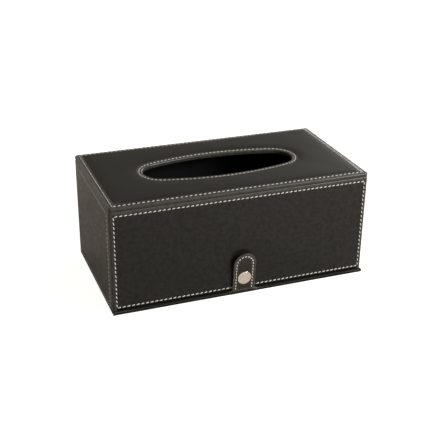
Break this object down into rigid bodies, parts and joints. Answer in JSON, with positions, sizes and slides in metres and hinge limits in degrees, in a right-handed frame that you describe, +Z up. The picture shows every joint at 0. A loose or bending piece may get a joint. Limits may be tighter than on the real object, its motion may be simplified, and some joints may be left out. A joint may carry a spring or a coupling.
{
  "type": "tissue box with drawer",
  "caption": "Leather-covered tissue box with a padded lid, an oval opening, a flat slide-out base drawer and a press-stud strap that locks and pulls it.",
  "frame": {"origin": "bottom centre of the whole object's bounding box, on the surface it stands on", "axes": "+Z up, +X to the right along the long side, -Y to the front where the strap and the drawer's lip are"},
  "size_m": [0.238, 0.1324, 0.1016],
  "materials": {
    "panel_leather": "fine-grained dark taupe leatherette, semi-matt",
    "strap_leather": "fine-grained dark taupe leatherette, semi-matt",
    "fibreboard": "raw dense fibreboard",
    "flannel": "black short-pile flannel",
    "foam": "thin sheet foam",
    "runner_plastic": "black moulded channel",
    "stiffener": "thin stiffening sheet",
    "snap_metal": "satin nickel"
  },
  "bodies": {
    "casing": {"front_cover": "panel_leather", "rear_cover": "panel_leather", "left_cover": "panel_leather", "right_cover": "panel_leather", "top_cover": "panel_leather", "front_board": "fibreboard", "rear_board": "fibreboard", "left_board": "fibreboard", "right_board": "fibreboard", "top_board": "fibreboard", "front_lining": "flannel", "rear_lining": "flannel", "left_lining": "flannel", "right_lining": "flannel", "top_lining": "flannel", "top_foam": "foam", "left_runner": "runner_plastic", "right_runner": "runner_plastic", "snap_stud": "snap_metal", "snap_rivet": "snap_metal"},
    "drawer": {"drawer_board": "fibreboard", "drawer_cover": "panel_leather", "drawer_lining": "flannel", "lip_core": "fibreboard", "strap_anchor": "strap_leather"},
    "strap": {"strap_face": "strap_leather", "strap_core": "stiffener", "strap_back": "strap_leather", "snap_cap": "snap_metal", "snap_socket": "snap_metal"}
  },
  "joints": [
    {"name": "drawer_slide", "type": "slide", "parent": "casing", "child": "drawer", "axis": [0, -1, 0], "range_m": [0, 0.11]},
    {"name": "strap_hinge", "type": "hinge", "parent": "drawer", "child": "strap", "pos_m": [0, -0.0619, 0.00505], "axis": [1, 0, 0], "range_deg": [0, 90]}
  ]
}
